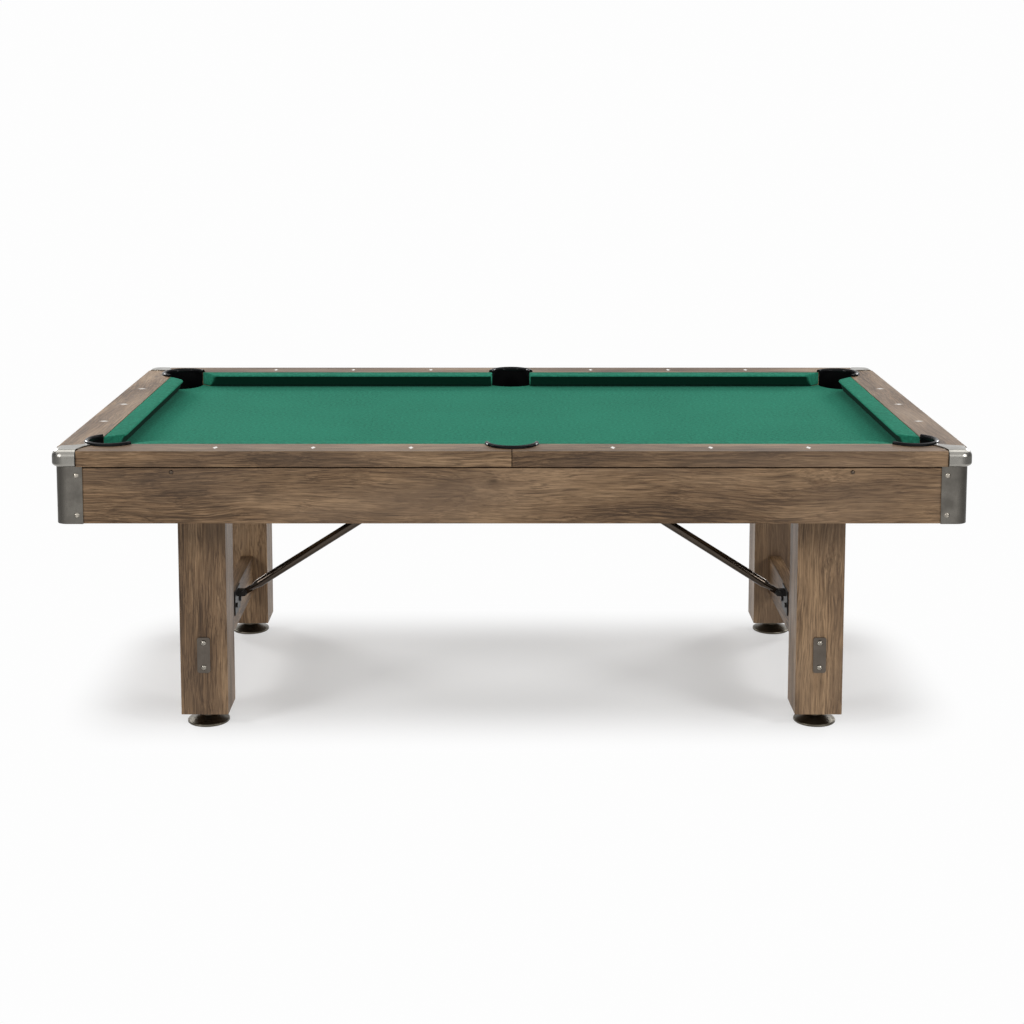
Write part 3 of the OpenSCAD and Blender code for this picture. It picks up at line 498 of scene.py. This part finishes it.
def dress_cad():
    for i, (node, grain) in enumerate(timber_nodes()):
        paint(node, wood(f"timber_{node}", grain, middle(node), i + 1, DARK, MID, LIGHT))
        soften(node, 0.0014 if grain == "z" else 0.0008)
    paint("leg_stretchers", wood("timber_stretchers", "y", (0.8, 0.0, 0.19), 31, DARK, MID, LIGHT))
    soften("leg_stretchers", 0.0015)
    paint("frame_panels", wood("raw_panels", "x", (0.0, 0.44, 0.68), 41, *RAW_WOOD))
    paint("frame_beams", wood("raw_beams", "y", (0.37, 0.0, 0.68), 43, *RAW_WOOD))
    paint("frame_leg_boards", wood("raw_boards", "y", (0.8, 0.0, 0.66), 47, *RAW_WOOD))
    slate = stone("slate", (0.085, 0.095, 0.105))
    for node in ("slate_left", "slate_centre", "slate_right"):
        paint(node, slate)
    pewter_cap = metal("pewter_cap", (0.345, 0.332, 0.302), 0.24, "x", 0.4, (0.5, 0.49, 0.47), 0.35, 0.07)
    pewter_trim = metal("pewter_trim", (0.185, 0.172, 0.152), 0.30, "z", 0.6, (0.42, 0.42, 0.41), amount=0.6)
    for node in NODES:
        if node.startswith("corner_cap"):
            paint(node, pewter_cap)
            soften(node, 0.0008, 2, 30.0)
    paint("corner_trims", pewter_trim)
    soften("corner_trims", 0.0006)
    paint("cabinet_screws", screws())
    paint("leg_plate_bolts", metal("aged_nickel", (0.34, 0.315, 0.275), 0.22, "x", 0.3, (0.4, 0.38, 0.34)))
    paint("leg_plates", metal("dark_plate", (0.13, 0.112, 0.095), 0.40, "z", 0.5, (0.55, 0.52, 0.48)))
    soften("leg_plates", 0.0007)
    bronze = metal("dark_bronze", (0.075, 0.060, 0.048), 0.16, "x", 0.1, (0.6, 0.55, 0.5), 0.25, 0.012)
    paint("brace_rods", bronze)
    black = moulded("powder_coat", (0.012, 0.011, 0.010), 0.42, 0.5, 1100.0, 0.35)
    for node in ("brace_brackets", "brace_bolts"):
        paint(node, black)
    soften("brace_brackets", 0.0008)
    foot = metal("foot_bronze", (0.120, 0.107, 0.084), 0.34, "x", 0.4, (0.45, 0.42, 0.4))
    zinc = metal("zinc", (0.55, 0.55, 0.54), 0.34, "x", 0.4, (0.7, 0.7, 0.72))
    for node in NODES:
        if node.startswith("leveller_pad"):
            paint(node, foot)
        elif node.startswith("leveller") or node in ("rail_bolts", "slate_screws", "leg_bolts"):
            paint(node, zinc)
    rim = moulded("rim_plastic", (0.004, 0.004, 0.0045), 0.16, 0.06, 700.0, 0.12)
    liner = moulded("liner_plastic", (0.0016, 0.0016, 0.0018), 0.62, 0.30, 600.0, 0.05)
    for node in NODES:
        if node.endswith("pocket_rims"):
            paint(node, rim)
        elif node.startswith("pocket_liner"):
            paint(node, liner)
    paint("rail_sights", pearl("pearl"))


# ---------------------------------------------------------------- soft pieces
def piece(name, verts, faces, mat, node):
    """Smooth mesh that rides on the table and stands for one CAD node."""
    mesh = bpy.data.meshes.new(name)
    mesh.from_pydata(verts, [], faces)
    bm = bmesh.new()
    bm.from_mesh(mesh)
    bmesh.ops.recalc_face_normals(bm, faces=bm.faces)
    bm.to_mesh(mesh)
    bm.free()
    mesh.polygons.foreach_set("use_smooth", [True] * len(mesh.polygons))
    mesh.materials.append(mat)
    obj = bpy.data.objects.new(name, mesh)
    bpy.context.scene.collection.objects.link(obj)
    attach(obj, "table")
    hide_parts(node)
    return obj


def arc_points(cx, cy, r, start, end, steps):
    return [
        (cx + r * math.cos(math.radians(start + (end - start) * i / steps)),
         cy + r * math.sin(math.radians(start + (end - start) * i / steps)))
        for i in range(steps + 1)
    ]


def cushion_profile(whole):
    """Closed section as (distance from the rail's outer face, height), cloth side first.
    whole takes in the timber behind the rubber, as the cloth over an end does."""
    u0 = RAIL_WOOD
    top = [
        (u0 + 0.0004, RAIL_TOP - 0.0050), (u0 + 0.0006, RAIL_TOP - 0.0022), (u0 + 0.0016, RAIL_TOP - 0.0007),
        (u0 + 0.0034, RAIL_TOP), (u0 + 0.010, RAIL_TOP + 0.0001), (u0 + 0.020, RAIL_TOP - 0.0002),
        (u0 + 0.031, RAIL_TOP - 0.0007), (u0 + 0.040, RAIL_TOP - 0.0014),
    ]
    nose = arc_points(RAIL_W - NOSE_R, BED_Z + 0.0346, NOSE_R, 82, -40, 8)
    face = [
        (RAIL_W - 0.0052, BED_Z + 0.0275), (RAIL_W - 0.0100, BED_Z + 0.0180),
        (RAIL_W - 0.0150, BED_Z + 0.0090), (RAIL_W - 0.0182, BED_Z + 0.0035),
        (RAIL_W - 0.0205, BED_Z + 0.0006),
    ]
    if whole:
        back = [
            (u0 + 0.0180, BED_Z + 0.0004), (u0 + 0.0060, BED_Z + 0.0004),
            (u0 + 0.0004, BED_Z + 0.0020), (u0 + 0.0004, BED_Z + 0.0200),
        ]
    else:
        back = [
            (u0 + SUB_RAIL + 0.0004, BED_Z + 0.0006), (u0 + SUB_RAIL + 0.0004, BED_Z + 0.0122),
            (u0 + 0.0184, RAIL_TOP - 0.0026), (u0 + 0.0004, RAIL_TOP - 0.0056),
        ]
    return top + nose + face + back


# Stations of a cushion's end: distance from the facing, how far the section shrinks, how far the nose
# draws back, and whether the section takes in the timber
END_STATIONS = [
    (0.0000, 0.0030, 0.0088, True), (0.0003, 0.0018, 0.0080, True), (0.0008, 0.0009, 0.0068, True),
    (0.00105, 0.0006, 0.0062, False), (0.0024, 0.0001, 0.0042, False), (0.0050, 0.0, 0.0023, False),
    (0.0090, 0.0, 0.0009, False), (0.0140, 0.0, 0.0002, False), (0.0200, 0.0, 0.0, False),
]


def make_cushion(name, node, length, far_corner, place):
    """Cloth-covered rubber rail cushion from a corner pocket to a side one, or to a corner if far_corner.
    place maps (along, across, up) to the table."""
    sections = {whole: cushion_profile(whole) for whole in (True, False)}
    m = len(sections[True])
    cu, cz = CORE
    far_run = CORNER_RUN if far_corner else SIDE_RUN
    far_tip = CORNER_TIP + RAIL_W if far_corner else SIDE_TIP
    margin = END_STATIONS[-1][0]
    stations = [(0, *row) for row in END_STATIONS]
    stations += [(1, i / CUSHION_STEPS, 0.0, 0.0, False) for i in range(1, CUSHION_STEPS)]
    stations += [(2, *row) for row in reversed(END_STATIONS)]
    verts = []
    for kind, value, inset, draw, whole in stations:
        if kind == 2 and not far_corner:
            draw = draw * SIDE_DRAW
        for u, z in sections[whole]:
            reach = math.hypot(u - cu, z - cz)
            weight = min(1.0, max(0.0, (u - RAIL_WOOD - 0.020) / (RAIL_W - RAIL_WOOD - 0.020)))
            uu = u + (cu - u) / reach * inset - draw * weight * weight
            zz = z + (cz - z) / reach * inset
            uu = max(uu, RAIL_WOOD + CLEAR)
            zz = max(zz, BED_Z + CLEAR)
            depth = (RAIL_W - uu) / (RAIL_W - RAIL_WOOD)
            start = CORNER_TIP + RAIL_W - CORNER_RUN * depth - LID
            end = length - (far_tip - far_run * depth) + LID
            if kind == 0:
                x = start + value
            elif kind == 1:
                x = start + margin + (end - start - 2 * margin) * value
            else:
                x = end - value
            verts.append(tuple(place(x, uu, zz)))
    faces = []
    for s in range(len(stations) - 1):
        for k in range(m):
            a, b = s * m + k, s * m + (k + 1) % m
            faces.append((a, b, b + m, a + m))
    for s in (0, len(stations) - 1):
        faces.append(tuple(s * m + k for k in range(m)))
    # True paints shade on the cushion's undercut
    cloth = felt(f"cloth_{name}", CLOTH, len(name) * 1.7, True)
    obj = piece(name, verts, faces, cloth, node)


def make_cushions():
    for sx, side in ((-1, "left"), (1, "right")):
        for sy, end in ((-1, "front"), (1, "back")):
            make_cushion(
                f"cushion_cloth_{end}_{side}", f"cushion_{end}_{side}", HALF_L, False,
                lambda x, u, z, sx=sx, sy=sy: (sx * (HALF_L - x), sy * (HALF_W - u), z),
            )
        make_cushion(
            f"cushion_cloth_{side}", f"cushion_{side}", 2 * HALF_W, True,
            lambda x, u, z, sx=sx: (sx * (HALF_L - u), x - HALF_W, z),
        )


def make_bed_cloth():
    """Cloth stretched over the slates and folded down over their edges at the pockets."""
    a, b = HALF_L - SLATE_INSET, HALF_W - SLATE_INSET
    cx, cy, sy, r = HALF_L - CORNER_CUT, HALF_W - CORNER_CUT, HALF_W - SIDE_CUT, CUT_R - 0.0006
    dy = b - sy
    side_half = math.sqrt(r * r - dy * dy)
    reach = math.sqrt(r * r - (a - cx) ** 2)

    def run(px, py, p0, p1, steps=28):
        """Arc round (px, py) from p0 to p1, by the way that bulges into the table."""
        a0 = math.atan2(p0[1] - py, p0[0] - px)
        a1 = math.atan2(p1[1] - py, p1[0] - px)
        mid = math.atan2(-py, -px)

        def unwrap(v):
            while v - mid > math.pi:
                v -= 2 * math.pi
            while v - mid < -math.pi:
                v += 2 * math.pi
            return v

        a0, a1 = unwrap(a0), unwrap(a1)
        turns = [a0 + (a1 - a0) * i / steps for i in range(steps + 1)]
        return [(px + r * math.cos(turn), py + r * math.sin(turn)) for turn in turns]

    # anticlockwise, starting on the back edge to the right of the middle
    cuts = [
        ((0.0, sy), run(0.0, sy, (side_half, b), (-side_half, b))),
        ((-cx, cy), run(-cx, cy, (-cx + reach, b), (-a, cy - reach))),
        ((-cx, -cy), run(-cx, -cy, (-a, -cy + reach), (-cx + reach, -b))),
        ((0.0, -sy), run(0.0, -sy, (-side_half, -b), (side_half, -b))),
        ((cx, -cy), run(cx, -cy, (cx - reach, -b), (a, -cy + reach))),
        ((cx, cy), run(cx, cy, (a, cy - reach), (cx - reach, b))),
    ]
    bm = bmesh.new()
    loop, arcs = [], []
    for centre, points in cuts:
        made = [bm.verts.new((x, y, BED_Z)) for x, y in points]
        loop += made
        arcs.append((centre, made))
    edges = [bm.edges.new((loop[i], loop[(i + 1) % len(loop)])) for i in range(len(loop))]
    bmesh.ops.triangle_fill(bm, use_beauty=True, use_dissolve=False, edges=edges)
    for (px, py), made in arcs:
        last = made
        for inward, down in FOLD:
            new = []
            for v in made:
                d = Vector((px - v.co.x, py - v.co.y, 0)).normalized()
                x, y = v.co.x + d.x * inward, v.co.y + d.y * inward
                new.append(bm.verts.new((x, y, BED_Z + down)))
            for i in range(len(made) - 1):
                bm.faces.new((last[i], last[i + 1], new[i + 1], new[i]))
            last = new
    bmesh.ops.recalc_face_normals(bm, faces=bm.faces)
    if sum(f.normal.z for f in bm.faces) < 0:
        bmesh.ops.reverse_faces(bm, faces=bm.faces)
    area = sum(f.calc_area() for f in bm.faces)
    mesh = bpy.data.meshes.new("bed_cloth_sheet")
    bm.to_mesh(mesh)
    bm.free()
    mesh.materials.append(felt("cloth_bed", CLOTH))
    obj = bpy.data.objects.new("bed_cloth_sheet", mesh)
    bpy.context.scene.collection.objects.link(obj)
    thick = obj.modifiers.new("thickness", "SOLIDIFY")
    thick.thickness = CLOTH_T
    thick.offset = -1.0
    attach(obj, "table")
    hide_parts("bed_cloth")


make_camera()
make_studio()
dress_cad()
make_cushions()
make_bed_cloth()
